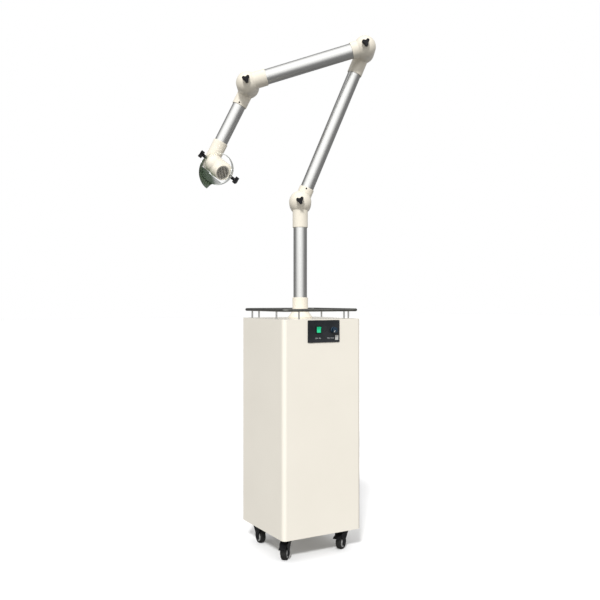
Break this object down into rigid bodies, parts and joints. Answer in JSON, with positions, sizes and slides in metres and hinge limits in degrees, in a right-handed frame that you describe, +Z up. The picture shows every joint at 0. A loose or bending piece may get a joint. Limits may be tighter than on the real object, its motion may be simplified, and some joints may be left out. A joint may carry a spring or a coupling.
{
  "type": "extraoral dental suction unit",
  "caption": "Floor-standing suction cabinet on swivel casters with a jointed tube arm, clamp knobs and a clear tilting hood that draws spray away at the mouth.",
  "frame": {"origin": "on the floor under the middle of the cabinet", "axes": "+Z up, -Y out of the control panel, +X to the right as seen from the front"},
  "size_m": [0.6119, 0.4361, 1.8749],
  "materials": {
    "cream_paint": "satin powder coat",
    "ivory_plastic": "satin moulded",
    "satin_aluminium": "satin anodised",
    "dark_rail_steel": "brushed",
    "black_plastic": "fine grain",
    "blue_black_plastic": "satin",
    "green_rocker": "glossy translucent",
    "clear_hood": "clear moulded",
    "wheel_rubber": "matt",
    "zinc_steel": "zinc plated",
    "white_nylon": "matt",
    "grey_duct_plastic": "matt",
    "filter_media": "pleated",
    "carbon_media": "granular",
    "circuit_board": "satin",
    "black_rubber": "matt"
  },
  "bodies": {
    "cabinet": {"base_plate": "cream_paint", "cabinet_shell": "cream_paint", "rear_panel": "cream_paint", "top_plate": "cream_paint", "gallery_rail": "dark_rail_steel", "rail_posts": "dark_rail_steel", "arm_flange": "ivory_plastic", "cabinet_screws": "zinc_steel", "swivel_bush": "white_nylon", "control_panel": "black_plastic", "switch_housing": "black_plastic", "speed_potentiometer": "black_plastic", "power_inlet": "black_plastic", "control_board": "circuit_board", "board_standoffs": "zinc_steel", "intake_duct": "grey_duct_plastic", "filter_housing": "grey_duct_plastic", "pre_filter": "filter_media", "hepa_filter": "filter_media", "carbon_filter": "carbon_media", "blower_housing": "grey_duct_plastic", "blower_motor": "zinc_steel", "blower_feet": "black_rubber", "caster_plates": "zinc_steel", "caster_bolts": "zinc_steel"},
    "post": {"post_tube": "satin_aluminium", "elbow_1_front": "ivory_plastic", "elbow_1_bolt": "zinc_steel"},
    "lower_arm": {"elbow_1_rear": "ivory_plastic", "lower_arm_tube": "satin_aluminium", "elbow_2_rear": "ivory_plastic"},
    "upper_arm": {"elbow_2_front": "ivory_plastic", "elbow_2_bolt": "zinc_steel", "upper_arm_tube": "satin_aluminium", "elbow_3_front": "ivory_plastic", "elbow_3_bolt": "zinc_steel"},
    "forearm": {"elbow_3_rear": "ivory_plastic", "forearm_tube": "satin_aluminium"},
    "nozzle": {"nozzle_head": "ivory_plastic", "inlet_guard": "black_plastic", "hood_studs": "zinc_steel"},
    "hood": {"suction_hood": "clear_hood"},
    "rocker": {"rocker_switch": "green_rocker"},
    "dial": {"speed_knob": "blue_black_plastic"},
    "impeller": {"blower_impeller": "grey_duct_plastic"},
    "clamp_knob_1": {"elbow_1_knob": "black_plastic"},
    "clamp_knob_2": {"elbow_2_knob": "black_plastic"},
    "clamp_knob_3": {"elbow_3_knob": "black_plastic"},
    "hood_clamp_left": {"hood_knob_left": "black_plastic"},
    "hood_clamp_right": {"hood_knob_right": "black_plastic"},
    "caster_fl": {"caster_fork_fl": "black_plastic"},
    "wheel_fl": {"caster_wheel_fl": "wheel_rubber"},
    "brake_fl": {"brake_pedal_fl": "black_plastic"},
    "caster_fr": {"caster_fork_fr": "black_plastic"},
    "wheel_fr": {"caster_wheel_fr": "wheel_rubber"},
    "brake_fr": {"brake_pedal_fr": "black_plastic"},
    "caster_rl": {"caster_fork_rl": "black_plastic"},
    "wheel_rl": {"caster_wheel_rl": "wheel_rubber"},
    "caster_rr": {"caster_fork_rr": "black_plastic"},
    "wheel_rr": {"caster_wheel_rr": "wheel_rubber"}
  },
  "joints": [
    {"name": "arm_swivel", "type": "hinge", "parent": "cabinet", "child": "post", "pos_m": [0, 0, 0.834], "axis": [0, 0, 1], "range_deg": [-150, 150]},
    {"name": "elbow_1_hinge", "type": "hinge", "parent": "post", "child": "lower_arm", "pos_m": [0, 0, 1.262], "axis": [-0.5, -0.866, 0], "range_deg": [-40, 20]},
    {"name": "elbow_2_hinge", "type": "hinge", "parent": "lower_arm", "child": "upper_arm", "pos_m": [0.20617, -0.11904, 1.83393], "axis": [-0.5, -0.866, 0], "range_deg": [-40, 15]},
    {"name": "elbow_3_hinge", "type": "hinge", "parent": "upper_arm", "child": "forearm", "pos_m": [-0.16969, 0.09797, 1.70207], "axis": [0.5, 0.866, 0], "range_deg": [-25, 60]},
    {"name": "nozzle_swivel", "type": "hinge", "parent": "forearm", "child": "nozzle", "pos_m": [-0.22734, 0.20516, 1.49668], "axis": [-0.3898, 0.225, -0.893], "range_deg": [-120, 120]},
    {"name": "hood_tilt", "type": "hinge", "parent": "nozzle", "child": "hood", "pos_m": [-0.25291, 0.16791, 1.39307], "axis": [0.682, -0.3937, -0.6163], "range_deg": [-20, 20]},
    {"name": "clamp_knob_1_turn", "type": "hinge", "parent": "post", "child": "clamp_knob_1", "pos_m": [-0.0255, -0.04417, 1.262], "axis": [-0.5, -0.866, 0], "range_deg": [0, 360]},
    {"name": "clamp_knob_2_turn", "type": "hinge", "parent": "upper_arm", "child": "clamp_knob_2", "pos_m": [0.18068, -0.1632, 1.83393], "axis": [-0.5, -0.866, 0], "range_deg": [0, 360]},
    {"name": "clamp_knob_3_turn", "type": "hinge", "parent": "upper_arm", "child": "clamp_knob_3", "pos_m": [-0.19519, 0.0538, 1.70207], "axis": [-0.5, -0.866, 0], "range_deg": [0, 360]},
    {"name": "hood_clamp_left_turn", "type": "hinge", "parent": "nozzle", "child": "hood_clamp_left", "pos_m": [-0.30064, 0.19547, 1.43622], "axis": [-0.682, 0.3937, 0.6163], "range_deg": [0, 360]},
    {"name": "hood_clamp_right_turn", "type": "hinge", "parent": "nozzle", "child": "hood_clamp_right", "pos_m": [-0.20517, 0.14034, 1.34993], "axis": [0.682, -0.3937, -0.6163], "range_deg": [0, 360]},
    {"name": "rocker_tilt", "type": "hinge", "parent": "cabinet", "child": "rocker", "pos_m": [-0.021, -0.1635, 0.797], "axis": [1, 0, 0], "range_deg": [-14, 0]},
    {"name": "speed_dial_turn", "type": "hinge", "parent": "cabinet", "child": "dial", "pos_m": [0.038, -0.1735, 0.795], "axis": [0, 1, 0], "range_deg": [0, 270]},
    {"name": "impeller_spin", "type": "hinge", "parent": "cabinet", "child": "impeller", "pos_m": [0, 0, 0.22], "axis": [0, 0, 1], "continuous": true},
    {"name": "caster_fl_swivel", "type": "hinge", "parent": "cabinet", "child": "caster_fl", "pos_m": [-0.118, -0.1085, 0.065], "axis": [0, 0, 1], "continuous": true},
    {"name": "wheel_fl_spin", "type": "hinge", "parent": "caster_fl", "child": "wheel_fl", "pos_m": [-0.13073, -0.12123, 0.025], "axis": [0.7071, -0.7071, 0], "continuous": true},
    {"name": "brake_fl_press", "type": "hinge", "parent": "caster_fl", "child": "brake_fl", "pos_m": [-0.14133, -0.13184, 0.054], "axis": [0.7071, -0.7071, 0], "range_deg": [0, 12]},
    {"name": "caster_fr_swivel", "type": "hinge", "parent": "cabinet", "child": "caster_fr", "pos_m": [0.118, -0.1085, 0.065], "axis": [0, 0, 1], "continuous": true},
    {"name": "wheel_fr_spin", "type": "hinge", "parent": "caster_fr", "child": "wheel_fr", "pos_m": [0.10241, -0.1175, 0.025], "axis": [0.5, -0.866, 0], "continuous": true},
    {"name": "brake_fr_press", "type": "hinge", "parent": "caster_fr", "child": "brake_fr", "pos_m": [0.08942, -0.125, 0.054], "axis": [0.5, -0.866, 0], "range_deg": [0, 12]},
    {"name": "caster_rl_swivel", "type": "hinge", "parent": "cabinet", "child": "caster_rl", "pos_m": [-0.118, 0.1085, 0.065], "axis": [0, 0, 1], "continuous": true},
    {"name": "wheel_rl_spin", "type": "hinge", "parent": "caster_rl", "child": "wheel_rl", "pos_m": [-0.118, 0.0905, 0.025], "axis": [1, 0, 0], "continuous": true},
    {"name": "caster_rr_swivel", "type": "hinge", "parent": "cabinet", "child": "caster_rr", "pos_m": [0.118, 0.1085, 0.065], "axis": [0, 0, 1], "continuous": true},
    {"name": "wheel_rr_spin", "type": "hinge", "parent": "caster_rr", "child": "wheel_rr", "pos_m": [0.11184, 0.09159, 0.025], "axis": [0.9397, -0.342, 0], "continuous": true}
  ]
}
